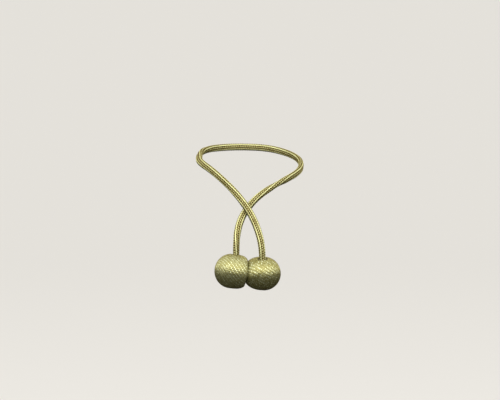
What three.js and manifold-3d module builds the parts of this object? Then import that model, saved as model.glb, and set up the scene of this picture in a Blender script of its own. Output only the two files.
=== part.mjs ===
// Magnetic tieback: one braided satin cord with a thread-wound ball on each end. The cord makes a
// loop, its two ends cross in front, and the balls hang below with their flat magnet faces together.
// Sizes are millimetres: +X right, +Y from the front of the loop to its back, +Z up. The origin is on
// the cord's inner face at the middle of the loop's back, where the loop bears on what it holds.

import * as THREE from "three";
import { mergeVertices } from "three/addons/utils/BufferGeometryUtils.js";
import Module from "manifold-3d";

const wasm = await Module();
wasm.setup();

// Driving dimensions. GAP parts any two pieces. FLARE is how many times wider than the socket its
// mouth is, and FLARE_DEPTH how far down the mouth reaches. FACE_TURN is how far the left ball's face
// looks to the back, and the right one's to the front.
const GAP = 0.3;
const CORD_WIDTH = 7.5;
const CORD_THICKNESS = 5.8;
const CORD_PLAITS = 8;
const PLAIT_DEPTH = 0.45;
const LOOP_CENTRE_Y = -30;
const FLARE = 1.45;
const FLARE_DEPTH = 2.2;
const RIM_RADIUS = 2.0;
const FACE_TURN = THREE.MathUtils.degToRad(7);

// How finely the round shapes are divided
const CORD_STEPS = 104;
const BALL_SIDES = 44;
const SOCKET_SIDES = 32;

// The cord's centre line, from its end inside the left ball, up and behind the crossing, round the
// right side, the back and the left side, then in front of the crossing and into the right ball.
// Each row is x, y, z and the turn in degrees: how far the cord's flat has rolled about its own line
// from lying flat on what the loop holds.
const CORD_ROUTE = [
  [-13.8, -71.5, -117.5, 250],
  [-13.8, -71.5, -109.3, 250],
  [-13.6, -70.8, -99.5, 238],
  [-12.8, -69.0, -89.0, 212],
  [-10.6, -66.6, -79.2, 192],
  [-6.9, -64.1, -70.4, 180],
  [-1.6, -62.3, -62.3, 168],
  [4.9, -61.3, -54.9, 152],
  [12.5, -60.2, -48.5, 132],
  [20.9, -58.4, -42.8, 99],
  [29.6, -55.6, -37.8, 52],
  [38.6, -51.4, -33.0, 4],
  [46.2, -45.6, -28.4, -12],
  [50.8, -38.8, -23.7, -8],
  [52.1, -31.5, -18.5, 0],
  [49.3, -20.0, -12.9, 0],
  [41.5, -9.4, -7.9, 0],
  [29.0, -2.0, -3.6, 0],
  [14.6, 1.9, -0.9, 0],
  [0.0, 2.9, 0.0, 0],
  [-14.8, 2.1, 0.1, 0],
  [-29.2, -1.6, -0.6, -4],
  [-41.8, -8.8, -2.4, -10],
  [-49.8, -19.6, -6.0, -26],
  [-51.9, -31.5, -11.4, -56],
  [-51.0, -38.6, -15.5, -50],
  [-47.0, -45.0, -19.2, -36],
  [-41.0, -50.8, -23.5, -22],
  [-34.2, -55.4, -28.9, -13],
  [-26.6, -59.2, -35.7, -4],
  [-19.2, -62.5, -42.9, -1],
  [-12.2, -65.2, -50.7, -5],
  [-5.8, -67.8, -59.0, -9],
  [-0.1, -69.7, -67.7, -8],
  [4.5, -71.3, -76.8, -3],
  [8.0, -73.0, -85.9, -3],
  [10.6, -74.7, -95.7, -7],
  [11.9, -75.6, -104.8, -9],
  [12.3, -76.0, -113.5, -9],
  [12.3, -76.0, -121.7, -9],
];

// The balls are wound by hand, so the two differ a little. Lengths run along the ball's own axis
// from its widest circle: to the outer pole, to the flat magnet face, and to where the squarer inner
// side would close if the face didn't cut it off. Both faces lean the same way, the left one more.
const LEFT_BALL = {
  name: "ball_left",
  side: 1,
  centre: new THREE.Vector3(-19.0, -74.6, -125.8),
  diameter: 33.8,
  toPole: 16.2,
  toFace: 14.7,
  toClose: 16.9,
  squareness: 3.8,
  lean: THREE.MathUtils.degToRad(7),
};
const RIGHT_BALL = {
  name: "ball_right",
  side: -1,
  centre: new THREE.Vector3(0, -70.6, -128.5),
  diameter: 33.2,
  toPole: 16.6,
  toFace: 17.7,
  toClose: 20.2,
  squareness: 2.5,
  lean: THREE.MathUtils.degToRad(3.5),
};

// A closed geometry as a manifold solid, and back.
function solidOf(geometry) {
  const bare = geometry.clone();
  bare.deleteAttribute("normal");
  bare.deleteAttribute("uv");
  const merged = mergeVertices(bare, 1e-4);
  return new wasm.Manifold(
    new wasm.Mesh({
      numProp: 3,
      vertProperties: merged.attributes.position.array,
      triVerts: new Uint32Array(merged.index.array),
    }),
  );
}

function geometryOf(solid) {
  const mesh = solid.getMesh();
  const geometry = new THREE.BufferGeometry();
  geometry.setAttribute("position", new THREE.BufferAttribute(mesh.vertProperties, 3));
  geometry.setIndex(new THREE.BufferAttribute(mesh.triVerts, 1));
  const flat = geometry.toNonIndexed();
  flat.computeVertexNormals();
  return flat;
}

// The cord's centre line, and the frame that its section lies in at a share of its length: across is
// the direction of the width, outward that of the thickness.
const cordLine = new THREE.CatmullRomCurve3(
  CORD_ROUTE.map(([x, y, z]) => new THREE.Vector3(x, y, z)),
  false,
  "centripetal",
);
cordLine.arcLengthDivisions = 2000;

function turnAt(share) {
  const row = cordLine.getUtoTmapping(share) * (CORD_ROUTE.length - 1);
  const before = Math.min(Math.floor(row), CORD_ROUTE.length - 2);
  return THREE.MathUtils.lerp(CORD_ROUTE[before][3], CORD_ROUTE[before + 1][3], row - before);
}

function cordFrame(share) {
  const centre = cordLine.getPointAt(share);
  const along = cordLine.getTangentAt(share);
  const outward = new THREE.Vector3(centre.x, centre.y - LOOP_CENTRE_Y, 0);
  outward.addScaledVector(along, -outward.dot(along)).normalize();
  outward.applyAxisAngle(along, THREE.MathUtils.degToRad(turnAt(share)));
  const across = new THREE.Vector3().crossVectors(outward, along);
  return { centre, across, outward };
}

// The section is an oval whose outline rises over each plait and dips between two.
function cordSection() {
  const points = [];
  for (let i = 0; i < 2 * CORD_PLAITS; i++) {
    const angle = (i * Math.PI) / CORD_PLAITS;
    const dip = i % 2 ? PLAIT_DEPTH : 0;
    const x = (CORD_WIDTH / 2 - dip) * Math.cos(angle);
    const y = (CORD_THICKNESS / 2 - dip) * Math.sin(angle);
    points.push(new THREE.Vector2(x, y));
  }
  return new THREE.Shape(points);
}

// The cord is extruded straight, as long as 1, and each ring is then laid on its place on the line.
function makeCord() {
  const geometry = new THREE.ExtrudeGeometry(cordSection(), {
    depth: 1,
    steps: CORD_STEPS,
    bevelEnabled: false,
  });
  const position = geometry.attributes.position;
  const frames = new Map();
  for (let i = 0; i < position.count; i++) {
    const step = Math.round(position.getZ(i) * CORD_STEPS);
    if (!frames.has(step)) frames.set(step, cordFrame(step / CORD_STEPS));
    const { centre, across, outward } = frames.get(step);
    const point = centre
      .clone()
      .addScaledVector(across, position.getX(i))
      .addScaledVector(outward, position.getY(i));
    position.setXYZ(i, point.x, point.y, point.z);
  }
  geometry.computeVertexNormals();
  const finish = new THREE.MeshStandardMaterial({
    color: "#a2953f",
    roughness: 0.42,
    metalness: 0.1,
  });
  const cord = new THREE.Mesh(geometry, finish);
  cord.name = "cord";
  return cord;
}

// The inner half of a ball's outline at a distance from its widest circle: the radius there, and the
// slope of the outline, as the angle between its outward normal and the widest circle.
function innerHalf({ diameter, toClose, squareness }, along) {
  const share = Math.pow(along / toClose, squareness);
  const radius = (diameter / 2) * Math.pow(1 - share, 1 / squareness);
  const slope = (radius * share) / (along * (1 - share));
  return { radius, tilt: Math.atan(slope) };
}

// The rounded rim of the flat face touches the inner half of the outline and the face. Where it starts
// is found by halving the stretch that it must lie in.
function rimOf(ball) {
  const middle = ball.toFace - RIM_RADIUS;
  let low = middle;
  let high = ball.toFace;
  for (let i = 0; i < 30; i++) {
    const start = (low + high) / 2;
    if (start < middle + RIM_RADIUS * Math.sin(innerHalf(ball, start).tilt)) low = start;
    else high = start;
  }
  const { radius, tilt } = innerHalf(ball, low);
  return { start: low, tilt, middle, faceRadius: radius - RIM_RADIUS * Math.cos(tilt) };
}

// The two directions in which a ball lies: normal looks out of its face, and rise runs up it.
function ballAxes({ side, lean }) {
  const level = new THREE.Vector3(Math.cos(FACE_TURN), Math.sin(FACE_TURN), 0);
  const up = new THREE.Vector3(0, 0, 1);
  const rise = level.clone().multiplyScalar(Math.sin(lean)).addScaledVector(up, Math.cos(lean));
  const normal = level.multiplyScalar(Math.cos(lean)).addScaledVector(up, -Math.sin(lean));
  return { normal: normal.multiplyScalar(side), rise };
}

// The faces meet at the top of the right one, and from there the gap between them opens downwards.
function placeRightBall() {
  const left = ballAxes(LEFT_BALL);
  const right = ballAxes(RIGHT_BALL);
  const touch = RIGHT_BALL.centre.clone();
  touch.addScaledVector(right.normal, RIGHT_BALL.toFace);
  touch.addScaledVector(right.rise, rimOf(RIGHT_BALL).faceRadius);
  const height = touch.sub(LEFT_BALL.centre).dot(left.normal);
  RIGHT_BALL.centre.x = (LEFT_BALL.toFace + GAP - height) / left.normal.x;
}

// Half of a ball's outline: a round outer half, a squarer inner half, the rounded rim of the magnet
// face, and the face.
function ballProfile(ball) {
  const outerSteps = 12;
  const innerSteps = 9;
  const rimSteps = 3;
  const points = [new THREE.Vector2(0, -ball.toPole)];
  for (let i = 1; i <= outerSteps; i++) {
    const angle = (i * Math.PI) / 2 / outerSteps;
    const radius = (ball.diameter / 2) * Math.sin(angle);
    points.push(new THREE.Vector2(radius, -ball.toPole * Math.cos(angle)));
  }
  const rim = rimOf(ball);
  for (let i = 1; i <= innerSteps; i++) {
    const along = (rim.start * i) / innerSteps;
    points.push(new THREE.Vector2(innerHalf(ball, along).radius, along));
  }
  for (let i = 1; i <= rimSteps; i++) {
    const angle = THREE.MathUtils.lerp(rim.tilt, Math.PI / 2, i / rimSteps);
    const radius = rim.faceRadius + RIM_RADIUS * Math.cos(angle);
    points.push(new THREE.Vector2(radius, rim.middle + RIM_RADIUS * Math.sin(angle)));
  }
  points.push(new THREE.Vector2(0, ball.toFace));
  return points;
}

// The blind socket that a cord end sits in, with a flared mouth where the winding dips inwards. It is
// an oval that follows the cord's, and it stops just past the cord's end.
function socketSolid(endShare, mouthRow) {
  const { centre, across } = cordFrame(endShare);
  const [x, y, z] = CORD_ROUTE[mouthRow];
  const depth = z - centre.z + GAP;
  const profile = [
    new THREE.Vector2(0, -depth),
    new THREE.Vector2(1, -depth),
    new THREE.Vector2(1, -FLARE_DEPTH),
    new THREE.Vector2((1 + FLARE) / 2, -FLARE_DEPTH / 4),
    new THREE.Vector2(FLARE, FLARE_DEPTH / 2),
    new THREE.Vector2(FLARE, depth),
    new THREE.Vector2(0, depth),
  ];
  const up = new THREE.Vector3(0, 0, 1);
  const wide = across.clone().multiplyScalar(CORD_WIDTH / 2 + GAP);
  const thin = new THREE.Vector3().crossVectors(across, up);
  thin.multiplyScalar(CORD_THICKNESS / 2 + GAP);
  const place = new THREE.Matrix4().makeBasis(wide, up, thin).setPosition(x, y, z);
  return solidOf(new THREE.LatheGeometry(profile, SOCKET_SIDES).applyMatrix4(place));
}

// A ball is a turned body laid over so that its magnet face looks sideways, less its socket.
function makeBall(ball, endShare, mouthRow) {
  const { normal, rise } = ballAxes(ball);
  const towards = new THREE.Vector3().crossVectors(rise, normal);
  const place = new THREE.Matrix4().makeBasis(rise, normal, towards).setPosition(ball.centre);
  const body = new THREE.LatheGeometry(ballProfile(ball), BALL_SIDES).applyMatrix4(place);
  const solid = solidOf(body).subtract(socketSolid(endShare, mouthRow));
  const finish = new THREE.MeshStandardMaterial({
    color: "#a99c4c",
    roughness: 0.45,
    metalness: 0.1,
  });
  const mesh = new THREE.Mesh(geometryOf(solid), finish);
  mesh.name = ball.name;
  return mesh;
}

placeRightBall();

const tieback = new THREE.Group();
tieback.add(makeCord());
tieback.add(makeBall(LEFT_BALL, 0, 1));
tieback.add(makeBall(RIGHT_BALL, 1, CORD_ROUTE.length - 2));

export default tieback;
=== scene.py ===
# A magnetic tieback as it hangs in use: a loop of braided satin cord whose ends cross in front, with
# a thread-wound ball on each. Everything is in metres, in the frame of the solid model: +X right,
# +Y from the front of the loop to its back, +Z up.

import math

import bpy
import numpy as np
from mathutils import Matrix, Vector


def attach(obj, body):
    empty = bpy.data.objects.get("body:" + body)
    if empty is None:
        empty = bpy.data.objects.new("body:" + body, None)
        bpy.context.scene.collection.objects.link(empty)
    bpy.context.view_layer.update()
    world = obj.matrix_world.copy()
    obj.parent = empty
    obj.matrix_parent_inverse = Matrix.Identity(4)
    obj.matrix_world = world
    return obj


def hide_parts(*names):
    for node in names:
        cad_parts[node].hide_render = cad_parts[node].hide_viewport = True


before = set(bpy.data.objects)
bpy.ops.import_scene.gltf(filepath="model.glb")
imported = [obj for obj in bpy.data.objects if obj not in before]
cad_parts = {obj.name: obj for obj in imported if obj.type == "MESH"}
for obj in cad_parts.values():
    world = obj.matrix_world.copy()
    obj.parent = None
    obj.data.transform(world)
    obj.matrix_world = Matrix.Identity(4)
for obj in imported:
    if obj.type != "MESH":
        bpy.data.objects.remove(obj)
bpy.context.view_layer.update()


# The camera stands level and straight in front, at the height of the crossing, far enough away that
# the balls show at about a millimetre to a pixel.

CAMERA_PLACE = (0.0, -1.87, -0.055)
CAMERA_LENS_MM = 129.6
CAMERA_SENSOR_MM = 36

camera = bpy.data.objects.new("camera", bpy.data.cameras.new("camera"))
camera.location = CAMERA_PLACE
camera.rotation_euler = (math.radians(90), 0, 0)
camera.data.lens = CAMERA_LENS_MM
camera.data.sensor_width = CAMERA_SENSOR_MM
bpy.context.scene.collection.objects.link(camera)
bpy.context.scene.camera = camera


# The cord is one length of satin cord, plaited from eight bundles of polyester thread into a flat
# oval. Two smooth plaits stand along each face with a sunk one between them, and those on the narrow
# sides lie across it like ribs. It is bare from ball to ball, and each end is glued into a ball.

CORD_WIDTH = 0.0075
CORD_THICKNESS = 0.0058
LOOP_CENTRE_Y = -0.030
PLAIT_HEIGHT = 0.00055
PIT_DEPTH = 0.00022
RING_SPACING = 0.0003
RING_POINTS = 64
STEPS_BETWEEN_ROWS = 40
# A stitch is about 1.85 mm long. It is drawn longer, so that it shows at this distance.
STITCH = 0.0024

# Centre line from the end in the left ball to the end in the right one: x, y, z, and the turn in
# degrees, which is how far the flat has rolled from lying on what the loop holds.
CORD_ROUTE = [
    (-0.0138, -0.0715, -0.1175, 250),
    (-0.0138, -0.0715, -0.1093, 250),
    (-0.0136, -0.0708, -0.0995, 238),
    (-0.0128, -0.0690, -0.0890, 212),
    (-0.0106, -0.0666, -0.0792, 192),
    (-0.0069, -0.0641, -0.0704, 180),
    (-0.0016, -0.0623, -0.0623, 168),
    (0.0049, -0.0613, -0.0549, 152),
    (0.0125, -0.0602, -0.0485, 132),
    (0.0209, -0.0584, -0.0428, 99),
    (0.0296, -0.0556, -0.0378, 52),
    (0.0386, -0.0514, -0.0330, 4),
    (0.0462, -0.0456, -0.0284, -12),
    (0.0508, -0.0388, -0.0237, -8),
    (0.0521, -0.0315, -0.0185, 0),
    (0.0493, -0.0200, -0.0129, 0),
    (0.0415, -0.0094, -0.0079, 0),
    (0.0290, -0.0020, -0.0036, 0),
    (0.0146, 0.0019, -0.0009, 0),
    (0.0000, 0.0029, 0.0000, 0),
    (-0.0148, 0.0021, 0.0001, 0),
    (-0.0292, -0.0016, -0.0006, -4),
    (-0.0418, -0.0088, -0.0024, -10),
    (-0.0498, -0.0196, -0.0060, -26),
    (-0.0519, -0.0315, -0.0114, -56),
    (-0.0510, -0.0386, -0.0155, -50),
    (-0.0470, -0.0450, -0.0192, -36),
    (-0.0410, -0.0508, -0.0235, -22),
    (-0.0342, -0.0554, -0.0289, -13),
    (-0.0266, -0.0592, -0.0357, -4),
    (-0.0192, -0.0625, -0.0429, -1),
    (-0.0122, -0.0652, -0.0507, -5),
    (-0.0058, -0.0678, -0.0590, -9),
    (-0.0001, -0.0697, -0.0677, -8),
    (0.0045, -0.0713, -0.0768, -3),
    (0.0080, -0.0730, -0.0859, -3),
    (0.0106, -0.0747, -0.0957, -7),
    (0.0119, -0.0756, -0.1048, -9),
    (0.0123, -0.0760, -0.1135, -9),
    (0.0123, -0.0760, -0.1217, -9),
]
LEFT_EXIT = CORD_ROUTE[1][:3]
RIGHT_EXIT = CORD_ROUTE[-2][:3]

# One row for each plait, round from the cord's narrow side: how high it stands, how deep its stitches
# are cut, how far they slant, and how far they point along the cord in a vee.
PLAITS = [
    ("narrow side", 0.92, 0.85, 0.0, 0.55),
    ("shoulder", 1.00, 0.16, 0.45, 0.0),
    ("flat", 0.80, 0.60, -0.45, 0.0),
    ("shoulder", 1.00, 0.16, 0.45, 0.0),
    ("narrow side", 0.92, 0.85, 0.0, 0.55),
    ("shoulder", 1.00, 0.16, -0.45, 0.0),
    ("flat", 0.80, 0.60, 0.45, 0.0),
    ("shoulder", 1.00, 0.16, -0.45, 0.0),
]

# The seams between the plaits, in degrees round the cord from the middle of a narrow side.
SEAMS = [-26, 26, 72, 108, 154, 206, 252, 288, 334, 386]

# How the relief is shaped. A power below 1 broadens a crown and one above 1 narrows it. A seam's
# width is a share of a plait's. The unevenness comes in clouds about 7 mm across.
ARCH_POWER = 0.9
STITCH_POWER = 1.1
SEAM_WIDTH = 0.26
DOT_POWER = 1.6
# A pit counts this much deeper for the colour, as painted shade.
PIT_PAINTED_SHADE = 1.3
CORD_CLOUDS_IN_MM = 0.14


def smooth_line(route, spacing):
    """A smooth curve through the route's rows that doesn't overshoot, as evenly spaced rows."""
    rows = np.array(route, dtype=float)
    rows = np.vstack([2 * rows[0] - rows[1], rows, 2 * rows[-1] - rows[-2]])
    step = np.sqrt(np.linalg.norm(np.diff(rows[:, :3], axis=0), axis=1))[:, None]
    slope = np.diff(rows, axis=0) / step
    chord = (rows[2:] - rows[:-2]) / (step[1:] + step[:-1])
    bend = slope[:-1] - chord + slope[1:]
    start, leave = rows[1:-2, None], (bend[:-1] * step[1:-1])[:, None]
    end, arrive = rows[2:-1, None], (bend[1:] * step[1:-1])[:, None]
    s = np.linspace(0, 1, STEPS_BETWEEN_ROWS, endpoint=False)[None, :, None]
    fine = (2 * s**3 - 3 * s**2 + 1) * start + (3 * s**2 - 2 * s**3) * end
    fine = fine + (s**3 - 2 * s**2 + s) * leave + (s**3 - s**2) * arrive
    fine = np.vstack([fine.reshape(-1, 4), rows[-2]])
    steps = np.linalg.norm(np.diff(fine[:, :3], axis=0), axis=1)
    distance = np.concatenate([[0], np.cumsum(steps)])
    places = np.linspace(0, distance[-1], int(round(distance[-1] / spacing)) + 1)
    even = [np.interp(places, distance, fine[:, column]) for column in range(4)]
    return places, np.column_stack(even)


def unit(vectors):
    """Rows of vectors, each brought to the length 1."""
    return vectors / np.linalg.norm(vectors, axis=1)[:, None]


def cord_frames(rows):
    """Each ring's centre and its two directions: across is along the width, outward the thickness."""
    centre = rows[:, :3]
    along = unit(np.gradient(centre, axis=0))
    outward = centre * (1, 1, 0) - (0, LOOP_CENTRE_Y, 0)
    outward = unit(outward - (outward * along).sum(axis=1)[:, None] * along)
    turn = np.radians(rows[:, 3])[:, None]
    outward = outward * np.cos(turn) + np.cross(along, outward) * np.sin(turn)
    return centre, np.cross(outward, along), outward


def ringed_mesh(name, points, round_span, ring_spots, end_points):
    """A closed mesh of rings of points, each end drawn in to one point, with its own UV map: across
    round_span round a ring, and along ring_spots from ring to ring."""
    rings, sides = points.shape[:2]
    side = np.arange(sides)
    after = (side + 1) % sides
    quads = []
    for ring in range(rings - 1):
        below, above = ring * sides, (ring + 1) * sides
        quads.append(np.column_stack([below + side, below + after, above + after, above + side]))
    first, last, top = rings * sides, rings * sides + 1, (rings - 1) * sides
    start_cap = np.column_stack([np.full(sides, first), after, side]).tolist()
    end_cap = np.column_stack([np.full(sides, last), top + side, top + after]).tolist()
    mesh = bpy.data.meshes.new(name)
    vertices = np.vstack([points.reshape(-1, 3), end_points])
    mesh.from_pydata(vertices.tolist(), [], np.vstack(quads).tolist() + start_cap + end_cap)
    u = np.column_stack([side, side + 1, side + 1, side]) * round_span / sides
    uv = []
    for low, high in zip(ring_spots[:-1], ring_spots[1:]):
        v = np.tile([low, low, high, high], (sides, 1))
        uv.append(np.stack([u, v], axis=-1).reshape(-1, 2))
    uv.append(np.zeros((6 * sides, 2)))
    mesh.uv_layers.new(name="thread").data.foreach_set("uv", np.vstack(uv).ravel())
    mesh.shade_smooth()
    return mesh


def store(mesh, name, values):
    """Store one number for each point of a mesh, and 0 for its two end points."""
    attribute = mesh.attributes.new(name, "FLOAT", "POINT")
    attribute.data.foreach_set("value", np.append(values, [0, 0]).astype(np.float32))


def add(tree, kind, links=(), **settings):
    """Add a node with its settings; links pairs an input's name or index with a socket or a value."""
    node = tree.nodes.new(kind)
    for name, value in settings.items():
        setattr(node, name, value)
    for place, value in dict(links).items():
        if isinstance(value, bpy.types.NodeSocket):
            tree.links.new(value, node.inputs[place])
        else:
            node.inputs[place].default_value = value
    return node


def relief_tree(name, sizes, attributes):
    """A node tree with an input for each size and one for the thread, and what it is given and told."""
    tree = bpy.data.node_groups.new(name, "GeometryNodeTree")
    tree.interface.new_socket("Geometry", in_out="INPUT", socket_type="NodeSocketGeometry")
    for size in sizes:
        tree.interface.new_socket(size, in_out="INPUT", socket_type="NodeSocketFloat")
    tree.interface.new_socket("Thread", in_out="INPUT", socket_type="NodeSocketMaterial")
    tree.interface.new_socket("Geometry", in_out="OUTPUT", socket_type="NodeSocketGeometry")
    told = {}
    for stored in attributes:
        told[stored] = add(
            tree, "GeometryNodeInputNamedAttribute", {"Name": stored}, data_type="FLOAT"
        ).outputs[0]
    return tree, add(tree, "NodeGroupInput").outputs, told


def end_relief(tree, given, rise, hollow_and_shade):
    """Store how hollow each point is, which its colour takes as painted shade, move it out along
    its normal, and lay the thread on.
    """
    kept = add(
        tree,
        "GeometryNodeStoreNamedAttribute",
        {"Geometry": given["Geometry"], "Name": "hollow_and_shade", "Value": hollow_and_shade},
        data_type="FLOAT",
        domain="POINT",
    ).outputs[0]
    normal = add(tree, "GeometryNodeInputNormal").outputs["Normal"]
    shift = add(
        tree, "ShaderNodeVectorMath", {0: normal, "Scale": rise}, operation="SCALE"
    ).outputs[0]
    moved = add(tree, "GeometryNodeSetPosition", {"Geometry": kept, "Offset": shift}).outputs[0]
    real = add(tree, "GeometryNodeRealizeInstances", {"Geometry": moved}).outputs[0]
    done = add(
        tree, "GeometryNodeSetMaterial", {"Geometry": real, "Material": given["Thread"]}
    ).outputs[0]
    add(tree, "NodeGroupOutput", {"Geometry": done})


def settle(piece, tree, sizes):
    """Run a node tree on the piece with the named sizes, and keep the result as a plain mesh."""
    modifier = piece.modifiers.new(tree.name, "NODES")
    modifier.node_group = tree
    for item in tree.interface.items_tree:
        if item.name in sizes:
            modifier[item.identifier] = sizes[item.name]
    evaluated = piece.evaluated_get(bpy.context.evaluated_depsgraph_get())
    made = bpy.data.meshes.new_from_object(evaluated)
    piece.modifiers.clear()
    piece.data = made


def colour(hex_text):
    """An sRGB hex colour as linear RGBA."""
    parts = [int(hex_text[i : i + 2], 16) / 255 for i in (1, 3, 5)]
    linear = [c / 12.92 if c <= 0.04045 else ((c + 0.055) / 1.055) ** 2.4 for c in parts]
    return (*linear, 1)


# The braid raises each plait over the oval, cuts it into stitches, and sinks a pit between two plaits
# at every stitch. It stores how deep each point lies, from 0 on a crown to about 2 in a pit, where
# the pit counts extra as painted shade for the thread's colour.
braid, given, told = relief_tree(
    "braid",
    ("Stitch length", "Plait height", "Pit depth", "Unevenness", "Seed"),
    ("lane", "along", "stand", "cut", "slant", "vee"),
)

lane = add(braid, "ShaderNodeMath", {0: told["lane"]}, operation="ROUND").outputs[0]
off = add(braid, "ShaderNodeMath", {0: told["lane"], 1: lane}, operation="SUBTRACT").outputs[0]
angle = add(braid, "ShaderNodeMath", {0: off, 1: math.pi}, operation="MULTIPLY").outputs[0]
arch = add(braid, "ShaderNodeMath", {0: angle}, operation="COSINE").outputs[0]
arch = add(braid, "ShaderNodeMath", {0: arch, 1: ARCH_POWER}, operation="POWER").outputs[0]

steps = add(
    braid, "ShaderNodeMath", {0: told["along"], 1: given["Stitch length"]}, operation="DIVIDE"
).outputs[0]
phase = add(
    braid, "ShaderNodeMath", {0: off, 1: told["slant"], 2: steps}, operation="MULTIPLY_ADD"
).outputs[0]
away = add(braid, "ShaderNodeMath", {0: off}, operation="ABSOLUTE").outputs[0]
phase = add(
    braid, "ShaderNodeMath", {0: away, 1: told["vee"], 2: phase}, operation="MULTIPLY_ADD"
).outputs[0]
odd = add(braid, "ShaderNodeMath", {0: lane, 1: 2}, operation="MODULO").outputs[0]
phase = add(
    braid, "ShaderNodeMath", {0: odd, 1: 0.5, 2: phase}, operation="MULTIPLY_ADD"
).outputs[0]
angle = add(braid, "ShaderNodeMath", {0: phase, 1: math.pi}, operation="MULTIPLY").outputs[0]
stitch = add(braid, "ShaderNodeMath", {0: angle}, operation="SINE").outputs[0]
stitch = add(braid, "ShaderNodeMath", {0: stitch}, operation="ABSOLUTE").outputs[0]
stitch = add(braid, "ShaderNodeMath", {0: stitch, 1: STITCH_POWER}, operation="POWER").outputs[0]
stitched = add(braid, "ShaderNodeMix", {0: told["cut"], 2: 1, 3: stitch}).outputs[0]
height = add(braid, "ShaderNodeMath", {0: arch, 1: stitched}, operation="MULTIPLY").outputs[0]
height = add(
    braid, "ShaderNodeMath", {0: height, 1: told["stand"]}, operation="MULTIPLY"
).outputs[0]
clouds = {"W": given["Seed"], "Scale": 1000 * CORD_CLOUDS_IN_MM, "Detail": 1}
cloud = add(braid, "ShaderNodeTexNoise", clouds, noise_dimensions="4D").outputs[0]
cloud = add(braid, "ShaderNodeMath", {0: cloud, 1: 0.5}, operation="SUBTRACT").outputs[0]
uneven = add(
    braid, "ShaderNodeMath", {0: cloud, 1: given["Unevenness"], 2: 1}, operation="MULTIPLY_ADD"
).outputs[0]
height = add(braid, "ShaderNodeMath", {0: height, 1: uneven}, operation="MULTIPLY").outputs[0]

seam = add(braid, "ShaderNodeMath", {0: told["lane"]}, operation="FRACT").outputs[0]
seam = add(braid, "ShaderNodeMath", {0: seam, 1: 0.5}, operation="SUBTRACT").outputs[0]
seam = add(braid, "ShaderNodeMath", {0: seam, 1: SEAM_WIDTH}, operation="DIVIDE").outputs[0]
seam = add(braid, "ShaderNodeMath", {0: seam, 1: seam}, operation="MULTIPLY").outputs[0]
seam = add(braid, "ShaderNodeMath", {0: seam, 1: -1}, operation="MULTIPLY").outputs[0]
seam = add(braid, "ShaderNodeMath", {0: seam}, operation="EXPONENT").outputs[0]
between = add(braid, "ShaderNodeMath", {0: told["lane"]}, operation="FLOOR").outputs[0]
odd = add(braid, "ShaderNodeMath", {0: between, 1: 2}, operation="MODULO").outputs[0]
phase = add(
    braid, "ShaderNodeMath", {0: odd, 1: 0.5, 2: steps}, operation="MULTIPLY_ADD"
).outputs[0]
angle = add(braid, "ShaderNodeMath", {0: phase, 1: 2 * math.pi}, operation="MULTIPLY").outputs[0]
dots = add(braid, "ShaderNodeMath", {0: angle}, operation="COSINE").outputs[0]
dots = add(braid, "ShaderNodeMath", {0: dots, 1: 0.5, 2: 0.5}, operation="MULTIPLY_ADD").outputs[0]
dots = add(braid, "ShaderNodeMath", {0: dots, 1: DOT_POWER}, operation="POWER").outputs[0]
pit = add(braid, "ShaderNodeMath", {0: seam, 1: dots}, operation="MULTIPLY").outputs[0]

raised = add(
    braid, "ShaderNodeMath", {0: height, 1: given["Plait height"]}, operation="MULTIPLY"
).outputs[0]
sunk = add(
    braid, "ShaderNodeMath", {0: pit, 1: given["Pit depth"]}, operation="MULTIPLY"
).outputs[0]
rise = add(braid, "ShaderNodeMath", {0: raised, 1: sunk}, operation="SUBTRACT").outputs[0]
# Painted shade: the thread's colour is browner the lower a point lies, and dark in a pit.
hollow_and_shade = add(braid, "ShaderNodeMath", {0: 1, 1: height}, operation="SUBTRACT").outputs[0]
hollow_and_shade = add(
    braid, "ShaderNodeMath", {0: pit, 1: PIT_PAINTED_SHADE, 2: hollow_and_shade}, operation="MULTIPLY_ADD"
).outputs[0]
end_relief(braid, given, rise, hollow_and_shade)


# Satin polyester thread in olive gold: smooth bright filaments laid side by side, which stretch each
# highlight across themselves. It shines on the crowns of its stitches and is browner at a grazing
# angle. Its colour also carries painted light by how deep it lies: a pale gold on the crowns, partly
# a painted highlight, browner as painted shade where a plait or stitch is sunk, and dark as painted
# shade in the pits between stitches, where no light gets in.

# Depths where the painted shade starts to turn the thread brown, starts to darken it, and is full.
SUNK_SHADE_FROM = 0.1
PIT_SHADE_FROM = 0.65
PIT_SHADE_TO = 1.35
# Painted glints lie about a millimetre apart, drawn as if the thread lay a little more or less deep.
PAINTED_GLINTS_IN_MM = 0.9
PAINTED_GLINT_DEPTH = 0.5
# A filament is about 0.02 mm thick. Bunches of 0.3 mm are drawn, as single ones wouldn't show.
FILAMENTS_IN_MM = 3.5
FILAMENT_DEPTH = 0.00006


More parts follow.
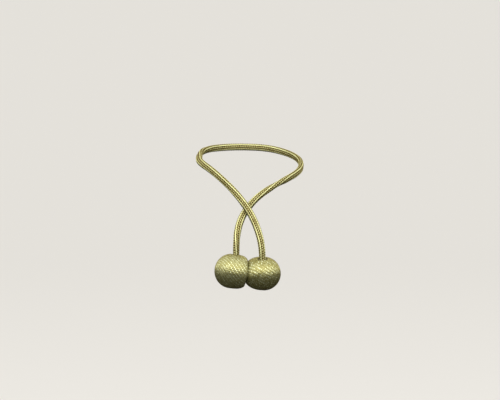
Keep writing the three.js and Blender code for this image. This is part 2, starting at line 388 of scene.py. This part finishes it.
def satin_thread(name, crown, sunk, pit, filament_turn):
    material = bpy.data.materials.new(name)
    material.use_nodes = True
    tree = material.node_tree
    tree.nodes.clear()
    hollow_and_shade = add(tree, "ShaderNodeAttribute", attribute_name="hollow_and_shade").outputs["Fac"]
    place = add(tree, "ShaderNodeTexCoord").outputs["Object"]
    coarse = {"Vector": place, "Scale": 1000 * PAINTED_GLINTS_IN_MM, "Detail": 1}
    painted_glints = add(tree, "ShaderNodeTexNoise", coarse).outputs["Fac"]
    painted_glints = add(tree, "ShaderNodeMath", {0: painted_glints, 1: 0.5}, operation="SUBTRACT").outputs[0]
    depth = add(
        tree, "ShaderNodeMath", {0: painted_glints, 1: PAINTED_GLINT_DEPTH, 2: hollow_and_shade}, operation="MULTIPLY_ADD"
    ).outputs[0]
    spread = {"Value": depth, "From Min": SUNK_SHADE_FROM, "From Max": PIT_SHADE_FROM}
    to_sunk_shade = add(tree, "ShaderNodeMapRange", spread).outputs[0]
    spread = {"Value": depth, "From Min": PIT_SHADE_FROM, "From Max": PIT_SHADE_TO}
    to_pit_shade = add(tree, "ShaderNodeMapRange", spread).outputs[0]
    sunk_shaded = add(
        tree, "ShaderNodeMixRGB", {0: to_sunk_shade, 1: colour(crown), 2: colour(sunk)}
    ).outputs[0]
    mixed = add(tree, "ShaderNodeMixRGB", {0: to_pit_shade, 1: sunk_shaded, 2: colour(pit)}).outputs[0]
    fine = {"Vector": place, "Scale": 1000 * FILAMENTS_IN_MM, "Detail": 2}
    filaments = add(tree, "ShaderNodeTexNoise", fine).outputs["Fac"]
    relief = {"Strength": 0.3, "Distance": FILAMENT_DEPTH, "Height": filaments}
    bump = add(tree, "ShaderNodeBump", relief).outputs[0]
    lie = add(tree, "ShaderNodeTangent", direction_type="UV_MAP", uv_map="thread").outputs[0]
    surface = add(
        tree,
        "ShaderNodeBsdfPrincipled",
        {
            "Base Color": mixed,
            "Metallic": 0.82,
            "Roughness": 0.42,
            "IOR": 1.6,
            "Specular Tint": colour("#A8914F"),
            "Anisotropic": 0.88,
            "Anisotropic Rotation": filament_turn,
            "Tangent": lie,
            "Coat Weight": 0.12,
            "Coat Roughness": 0.35,
            "Coat IOR": 1.6,
            "Normal": bump,
        },
    ).outputs[0]
    add(tree, "ShaderNodeOutputMaterial", {"Surface": surface})
    return material


# The crown's colour is partly a painted highlight; the sunk and pit colours are painted shade.
cord_thread = satin_thread("satin polyester cord thread", "#C0C08A", "#72652F", "#302812", 0.0)

places, rows = smooth_line(CORD_ROUTE, RING_SPACING)
centre, across, outward = cord_frames(rows)
round_share = np.arange(RING_POINTS) / RING_POINTS
angle = 2 * np.pi * round_share[:, None]
half_width = CORD_WIDTH / 2 - PLAIT_HEIGHT
half_thickness = CORD_THICKNESS / 2 - PLAIT_HEIGHT
points = (
    centre[:, None]
    + half_width * np.cos(angle) * across[:, None]
    + half_thickness * np.sin(angle) * outward[:, None]
)
cord_mesh = ringed_mesh("cord_braided", points, 1, places, centre[[0, -1]])
lane_place = np.interp(round_share * 360, SEAMS, np.arange(len(SEAMS)) - 0.5)
lane_place = np.tile(lane_place, len(places))
lane_number = np.round(lane_place).astype(int) % len(PLAITS)
store(cord_mesh, "lane", lane_place)
store(cord_mesh, "along", np.repeat(places, RING_POINTS))
for column, name in enumerate(("stand", "cut", "slant", "vee"), start=1):
    of_plait = np.array([plait[column] for plait in PLAITS])
    store(cord_mesh, name, of_plait[lane_number])

cord = bpy.data.objects.new("cord_braided", cord_mesh)
bpy.context.scene.collection.objects.link(cord)
cord_sizes = {
    "Stitch length": STITCH,
    "Plait height": PLAIT_HEIGHT,
    "Pit depth": PIT_DEPTH,
    "Unevenness": 0.5,
    "Seed": 3.0,
    "Thread": cord_thread,
}
settle(cord, braid, cord_sizes)
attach(cord, "root")
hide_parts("cord")


# Each ball is a light core with a magnet in its flat side, wound round and round with the same satin
# thread. A second one is woven through the rounds as in twill, so that fine slanting lines run over
# the ball. The winding dips where the cord goes in. The two are wound by hand, and differ.

STITCHES_ROUND = 84
POINTS_IN_STITCH = 5
POINTS_IN_ROUND = 5
TWILL_REPEAT = 3
THREAD_RELIEF = 0.00032
RIM_RADIUS = 0.0020
# Both flat faces are turned a little about the upright, and a thin gap is left where they meet.
FACE_TURN = math.radians(7)
FACE_GAP = 0.0003
# The winding dips within this many half widths of the cord.
MOUTH = 1.7
MOUTH_DEPTH = 0.0016
# The rounds of thread lie about a millimetre apart. They are drawn a little wider, to show.
ROUND_SPACING = 0.00127

# How the relief is shaped, with powers as on the cord. A round is rounder where it lies on top and
# flatter where the second thread crosses it. That thread stands lower than the rounds. The thread
# wanders in clouds about 8 mm across.
ROUND_POWER = 0.8
CROSSED_ROUND_POWER = 0.35
ON_TOP_POWER = 0.6
SECOND_POWER = 0.8
SECOND_HEIGHT = 0.7
# The dip round the cord is drawn this much darker, as painted shade.
DIP_PAINTED_SHADE = 0.6
BALL_CLOUDS_IN_MM = 0.13

# A round whose radius is below these shares of the widest has half or a quarter of the stitches.
HALF_STITCHES = 0.55
QUARTER_STITCHES = 0.27
# The second thread fades out between these shares, and the last rounds before a pole are plain.
PLAIN_SHARE = 0.12
WOVEN_SHARE = 0.27

# Steps in which a ball's outline is drawn, and in which the start of its rim is looked for.
OUTER_STEPS = 120
INNER_STEPS = 90
RIM_STEPS = 16
SEARCH_STEPS = 2000

# Lengths run along a ball's own axis from its widest circle: to the outer pole, to the flat face, and
# to where the squarer inner side would close if the face didn't cut it off. Wander and unevenness say
# how irregularly the thread lies, which is more on the right ball.
BALLS = [
    {
        "node": "ball_left",
        "side": 1,
        "centre": np.array([-0.0190, -0.0746, -0.1258]),
        "radius": 0.0169,
        "to_pole": 0.0162,
        "to_face": 0.0147,
        "to_close": 0.0169,
        "squareness": 3.8,
        "lean": math.radians(7),
        "winding_tilt": math.radians(13),
        "wander": 0.4,
        "unevenness": 0.4,
        "exit": LEFT_EXIT,
    },
    {
        "node": "ball_right",
        "side": -1,
        "centre": np.array([0.0, -0.0706, -0.1285]),
        "radius": 0.0166,
        "to_pole": 0.0166,
        "to_face": 0.0177,
        "to_close": 0.0202,
        "squareness": 2.5,
        "lean": math.radians(3.5),
        "winding_tilt": math.radians(13),
        "wander": 1.3,
        "unevenness": 0.6,
        "exit": RIGHT_EXIT,
    },
]


def inner_half(ball, along):
    """The radius of the inner half at a distance from the widest circle, and its outline's tilt."""
    share = (along / ball["to_close"]) ** ball["squareness"]
    radius = ball["radius"] * (1 - share) ** (1 / ball["squareness"])
    return radius, np.arctan(radius * share / (along * (1 - share)))


def rim_of(ball):
    """Where the rounded rim of the face starts, the tilt there, and the radius of the flat."""
    middle = ball["to_face"] - RIM_RADIUS
    starts = np.linspace(middle, ball["to_face"], SEARCH_STEPS)
    short = starts - middle - RIM_RADIUS * np.sin(inner_half(ball, starts)[1])
    start = np.interp(0, short, starts)
    radius, tilt = inner_half(ball, start)
    return start, tilt, radius - RIM_RADIUS * np.cos(tilt)


def ball_axes(ball):
    """The directions out of the flat face and up it."""
    level = np.array([math.cos(FACE_TURN), math.sin(FACE_TURN), 0])
    up = np.array([0, 0, 1])
    rise = math.sin(ball["lean"]) * level + math.cos(ball["lean"]) * up
    normal = ball["side"] * (math.cos(ball["lean"]) * level - math.sin(ball["lean"]) * up)
    return normal, rise


def ball_outline(ball):
    """Half of a ball's outline from its outer pole to the middle of its face: radius and along."""
    turn = np.linspace(0, np.pi / 2, OUTER_STEPS)
    outer = np.column_stack([ball["radius"] * np.sin(turn), -ball["to_pole"] * np.cos(turn)])
    start, tilt, flat_radius = rim_of(ball)
    along = np.linspace(0, start, INNER_STEPS)[1:]
    inner = np.column_stack([inner_half(ball, along)[0], along])
    turn = np.linspace(tilt, np.pi / 2, RIM_STEPS)[1:]
    rim = np.column_stack([np.cos(turn), np.sin(turn)]) * RIM_RADIUS
    rim += (flat_radius, ball["to_face"] - RIM_RADIUS)
    return np.vstack([outer, inner, rim, [(0, ball["to_face"])]])


def dip_round_cord(points, ball):
    """Draw the winding down round the cord where it goes into the ball, and say how far, 0 to 1."""
    ring = np.argmin(np.linalg.norm(centre - ball["exit"], axis=1))
    away = points - centre[ring]
    wide = away @ across[ring] / (CORD_WIDTH / 2)
    thin = away @ outward[ring] / (CORD_THICKNESS / 2)
    share = np.clip((MOUTH - np.hypot(wide, thin)) / (MOUTH - 1), 0, 1)
    share = np.where(away[..., 2] > -ball["radius"] / 2, share**2 * (3 - 2 * share), 0)
    return points - MOUTH_DEPTH * share[..., None] * (0, 0, 1), share


# The winding raises each round of thread and the stitches that are woven through it: in a twill
# repeat of three, the second thread lies on top for one stitch, and then the round for two.
winding, given, told = relief_tree(
    "twill winding",
    ("Thread relief", "Twill repeat", "Twill step", "Wander", "Unevenness", "Seed"),
    ("round", "stitch", "woven", "dipped"),
)

clouds = {"W": given["Seed"], "Scale": 1000 * BALL_CLOUDS_IN_MM, "Detail": 1}
cloud = add(winding, "ShaderNodeTexNoise", clouds, noise_dimensions="4D").outputs["Color"]
cloud = add(
    winding, "ShaderNodeVectorMath", {0: cloud, 1: (0.5, 0.5, 0.5)}, operation="SUBTRACT"
).outputs[0]
cloud = add(
    winding, "ShaderNodeVectorMath", {0: cloud, "Scale": given["Wander"]}, operation="SCALE"
).outputs[0]
cloud = add(winding, "ShaderNodeSeparateXYZ", {0: cloud}).outputs
rounds = add(
    winding, "ShaderNodeMath", {0: told["round"], 1: cloud["X"]}, operation="ADD"
).outputs[0]
stitches = add(
    winding, "ShaderNodeMath", {0: told["stitch"], 1: cloud["Y"]}, operation="ADD"
).outputs[0]
row = add(winding, "ShaderNodeMath", {0: rounds}, operation="FLOOR").outputs[0]
off = add(winding, "ShaderNodeMath", {0: rounds}, operation="FRACT").outputs[0]
angle = add(winding, "ShaderNodeMath", {0: off, 1: math.pi}, operation="MULTIPLY").outputs[0]
ridge = add(winding, "ShaderNodeMath", {0: angle}, operation="SINE").outputs[0]
ridge_high = add(
    winding, "ShaderNodeMath", {0: ridge, 1: ROUND_POWER}, operation="POWER"
).outputs[0]
ridge_wide = add(
    winding, "ShaderNodeMath", {0: ridge, 1: CROSSED_ROUND_POWER}, operation="POWER"
).outputs[0]

shifted = {0: row, 1: given["Twill step"], 2: stitches}
place = add(winding, "ShaderNodeMath", shifted, operation="MULTIPLY_ADD").outputs[0]
turns = add(
    winding, "ShaderNodeMath", {0: place, 1: given["Twill repeat"]}, operation="DIVIDE"
).outputs[0]
repeat = add(winding, "ShaderNodeMath", {0: turns}, operation="FLOOR").outputs[0]
place = add(winding, "ShaderNodeMath", {0: turns, 1: repeat}, operation="SUBTRACT").outputs[0]
place = add(
    winding, "ShaderNodeMath", {0: place, 1: given["Twill repeat"]}, operation="MULTIPLY"
).outputs[0]
over = add(winding, "ShaderNodeMath", {0: place, 1: 1}, operation="LESS_THAN").outputs[0]
angle = add(winding, "ShaderNodeMath", {0: place, 1: math.pi}, operation="MULTIPLY").outputs[0]
short = add(winding, "ShaderNodeMath", {0: angle}, operation="SINE").outputs[0]
short = add(winding, "ShaderNodeMath", {0: short}, operation="ABSOLUTE").outputs[0]
short = add(winding, "ShaderNodeMath", {0: short, 1: SECOND_POWER}, operation="POWER").outputs[0]
short = add(winding, "ShaderNodeMath", {0: short, 1: ridge_wide}, operation="MULTIPLY").outputs[0]
short = add(
    winding, "ShaderNodeMath", {0: short, 1: SECOND_HEIGHT}, operation="MULTIPLY"
).outputs[0]
length = add(
    winding, "ShaderNodeMath", {0: given["Twill repeat"], 1: 1}, operation="SUBTRACT"
).outputs[0]
angle = add(winding, "ShaderNodeMath", {0: place, 1: 1}, operation="SUBTRACT").outputs[0]
angle = add(winding, "ShaderNodeMath", {0: angle, 1: length}, operation="DIVIDE").outputs[0]
angle = add(winding, "ShaderNodeMath", {0: angle, 1: math.pi}, operation="MULTIPLY").outputs[0]
long = add(winding, "ShaderNodeMath", {0: angle}, operation="SINE").outputs[0]
long = add(winding, "ShaderNodeMath", {0: long}, operation="ABSOLUTE").outputs[0]
long = add(winding, "ShaderNodeMath", {0: long, 1: ON_TOP_POWER}, operation="POWER").outputs[0]
long = add(winding, "ShaderNodeMath", {0: long, 1: ridge_high}, operation="MULTIPLY").outputs[0]
woven = add(winding, "ShaderNodeMix", {0: over, 2: long, 3: short}).outputs[0]
crown = add(winding, "ShaderNodeMix", {0: told["woven"], 2: ridge_high, 3: woven}).outputs[0]

cell = add(winding, "ShaderNodeCombineXYZ", {0: row, 1: repeat, 2: over}).outputs[0]
chance = add(
    winding, "ShaderNodeTexWhiteNoise", {"Vector": cell, "W": given["Seed"]}, noise_dimensions="4D"
).outputs["Value"]
lower = add(
    winding, "ShaderNodeMath", {0: chance, 1: given["Unevenness"]}, operation="MULTIPLY"
).outputs[0]
lower = add(winding, "ShaderNodeMath", {0: 1, 1: lower}, operation="SUBTRACT").outputs[0]
crown = add(winding, "ShaderNodeMath", {0: crown, 1: lower}, operation="MULTIPLY").outputs[0]
# Painted shade: the colour is browner where the thread lies lower, on the second thread and on stitches
# lowered at random.
hollow_and_shade = add(winding, "ShaderNodeMath", {0: 1, 1: crown}, operation="SUBTRACT").outputs[0]
rise = add(
    winding, "ShaderNodeMath", {0: hollow_and_shade, 1: given["Thread relief"]}, operation="MULTIPLY"
).outputs[0]
rise = add(winding, "ShaderNodeMath", {0: rise, 1: -1}, operation="MULTIPLY").outputs[0]
# Painted shade also darkens the dip round the cord.
hollow_and_shade = add(
    winding, "ShaderNodeMath", {0: told["dipped"], 1: DIP_PAINTED_SHADE, 2: hollow_and_shade}, operation="MULTIPLY_ADD"
).outputs[0]
end_relief(winding, given, rise, hollow_and_shade)

# The same satin thread, wound: its filaments run round the ball, so a highlight stretches sideways.
# Its crown colour is partly a painted highlight, and its sunk and pit colours are painted shade.
ball_thread = satin_thread("satin polyester winding thread", "#DADFB8", "#8E8850", "#2A240E", 0.25)

# The right ball is moved along X until the top of its flat face meets the left one's.
left, right = BALLS
left_normal = ball_axes(left)[0]
right_normal, right_rise = ball_axes(right)
touch = right["centre"] + right["to_face"] * right_normal + rim_of(right)[2] * right_rise
height = (touch - left["centre"]) @ left_normal
right["centre"][0] = (left["to_face"] + FACE_GAP - height) / left_normal[0]

for ball in BALLS:
    normal = ball_axes(ball)[0]
    outline = ball_outline(ball)
    outline_angle = np.arctan2(outline[:, 0], outline[:, 1])[::-1]
    outline_reach = np.hypot(outline[:, 0], outline[:, 1])[::-1]

    # The winding's own axis rises towards the outer end of each ball.
    pole = np.array([-ball["side"] * math.cos(ball["winding_tilt"]), 0, math.sin(ball["winding_tilt"])])
    up = np.cross(pole, (0, -1, 0)) * -ball["side"]
    across_pole = np.cross(pole, up)
    rounds = int(math.pi * ball["radius"] / ROUND_SPACING)
    ring_spots = np.arange(1, rounds * POINTS_IN_ROUND) / POINTS_IN_ROUND
    polar = math.pi * ring_spots / rounds
    sides = STITCHES_ROUND * POINTS_IN_STITCH
    angle = 2 * np.pi * np.arange(sides)[:, None] / sides
    spoke = np.cos(angle) * up + np.sin(angle) * across_pole
    ways = np.cos(polar)[:, None, None] * pole + np.sin(polar)[:, None, None] * spoke
    off_axis = np.arccos(np.clip(ways @ normal, -1, 1))
    points = ball["centre"] + np.interp(off_axis, outline_angle, outline_reach)[..., None] * ways
    points, dipped = dip_round_cord(points, ball)
    reach = np.interp(np.arccos([pole @ normal, -pole @ normal]), outline_angle, outline_reach)
    poles = ball["centre"] + reach[:, None] * np.array([pole, -pole])
    name = ball["node"] + "_wound"
    mesh = ringed_mesh(name, points, STITCHES_ROUND, ring_spots, poles)

    # Nearer the poles a round is shorter, so it has half and then a quarter of the stitches.
    share = np.sin(math.pi * (np.floor(ring_spots) + 0.5) / rounds)
    fewer = np.where(share > HALF_STITCHES, 1, np.where(share > QUARTER_STITCHES, 2, 4))
    stitch = np.arange(sides) / POINTS_IN_STITCH / fewer[:, None]
    woven = np.clip((np.sin(polar) - PLAIN_SHARE) / (WOVEN_SHARE - PLAIN_SHARE), 0, 1)
    store(mesh, "round", np.repeat(ring_spots, sides))
    store(mesh, "stitch", stitch)
    store(mesh, "woven", np.repeat(woven, sides))
    store(mesh, "dipped", dipped)
    piece = bpy.data.objects.new(name, mesh)
    bpy.context.scene.collection.objects.link(piece)
    ball_sizes = {
        "Thread relief": THREAD_RELIEF,
        "Twill repeat": TWILL_REPEAT,
        "Twill step": 1,
        "Wander": ball["wander"],
        "Unevenness": ball["unevenness"],
        "Seed": 7.0,
        "Thread": ball_thread,
    }
    settle(piece, winding, ball_sizes)
    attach(piece, "root")
    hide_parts(ball["node"])


# The studio is a round sheet of pale matt paper, whose floor sweeps up into an upright backdrop. It
# shows behind the tieback but throws no light on it, as paper so far away would throw little.

FLOOR_Z = -1.25
FLOOR_RADIUS = 2.8
SWEEP_RADIUS = 1.0
SWEEP_STEPS = 24
BACKDROP_TOP = 3.75
BACKDROP_SIDES = 96

sweep = [(FLOOR_RADIUS, FLOOR_Z)]
for turn in np.linspace(0, math.pi / 2, SWEEP_STEPS)[1:]:
    out, up = SWEEP_RADIUS * math.sin(turn), SWEEP_RADIUS * (1 - math.cos(turn))
    sweep.append((FLOOR_RADIUS + out, FLOOR_Z + up))
sweep.append((FLOOR_RADIUS + SWEEP_RADIUS, BACKDROP_TOP))
vertices = []
for radius, height in sweep:
    for turn in 2 * math.pi * np.arange(BACKDROP_SIDES) / BACKDROP_SIDES:
        vertices.append((radius * math.cos(turn), radius * math.sin(turn), height))
faces = [list(range(BACKDROP_SIDES))]
for ring in range(len(sweep) - 1):
    for side in range(BACKDROP_SIDES):
        after = (side + 1) % BACKDROP_SIDES
        below, above = ring * BACKDROP_SIDES, (ring + 1) * BACKDROP_SIDES
        faces.append((below + side, above + side, above + after, below + after))
backdrop_mesh = bpy.data.meshes.new("studio_floor")
backdrop_mesh.from_pydata(vertices, [], faces)
backdrop_mesh.shade_smooth()

# Matt studio paper that glows evenly by itself: a pale off-white without any gloss, which takes little
# of the light from above, so the floor and the backdrop look alike.
paper = bpy.data.materials.new("matt studio paper")
paper.use_nodes = True
paper_inputs = paper.node_tree.nodes["Principled BSDF"].inputs
paper_inputs["Base Color"].default_value = colour("#6B6966")
paper_inputs["Roughness"].default_value = 0.9
paper_inputs["Emission Color"].default_value = colour("#E4E1DA")
paper_inputs["Emission Strength"].default_value = 0.78
backdrop_mesh.materials.append(paper)
backdrop = bpy.data.objects.new("studio_floor", backdrop_mesh)
backdrop.visible_diffuse = False
backdrop.visible_glossy = False
backdrop.visible_shadow = False
bpy.context.scene.collection.objects.link(backdrop)


# The light comes from a wide softbox in front and above and a pale dome overhead, with little from
# below and less from behind, so the undersides fall into shade.

TIEBACK_MIDDLE = Vector((0, -0.04, -0.07))


def softbox(name, place, size, watts):
    """A soft rectangular light at a place, aimed at the middle of the tieback."""
    light = bpy.data.lights.new(name, "AREA")
    light.shape = "RECTANGLE"
    light.size, light.size_y = size
    light.energy = watts
    lamp = bpy.data.objects.new(name, light)
    lamp.location = place
    away = TIEBACK_MIDDLE - Vector(place)
    lamp.rotation_euler = away.to_track_quat("-Z", "Y").to_euler()
    lamp.visible_camera = False
    bpy.context.scene.collection.objects.link(lamp)


softbox("front softbox", place=(0.0, -1.7, 0.95), size=(3.6, 1.7), watts=36)

world = bpy.data.worlds.new("pale dome")
world.use_nodes = True
sky = world.node_tree
direction = add(sky, "ShaderNodeTexCoord").outputs["Generated"]
direction = add(sky, "ShaderNodeSeparateXYZ", {0: direction}).outputs
above = add(
    sky,
    "ShaderNodeMapRange",
    {"Value": direction["Z"], "From Min": -0.1, "From Max": 0.2, "To Min": 0.1, "To Max": 1.9},
    interpolation_type="SMOOTHSTEP",
).outputs[0]
ahead = add(
    sky,
    "ShaderNodeMapRange",
    {"Value": direction["Y"], "From Min": 0.95, "From Max": 0.7, "To Min": 0.45, "To Max": 1},
    interpolation_type="SMOOTHSTEP",
).outputs[0]
strength = add(sky, "ShaderNodeMath", {0: above, 1: ahead}, operation="MULTIPLY").outputs[0]
background = sky.nodes["Background"]
background.inputs["Color"].default_value = colour("#FFFFFF")
sky.links.new(strength, background.inputs["Strength"])
bpy.context.scene.world = world
bpy.context.scene.view_settings.view_transform = "Standard"
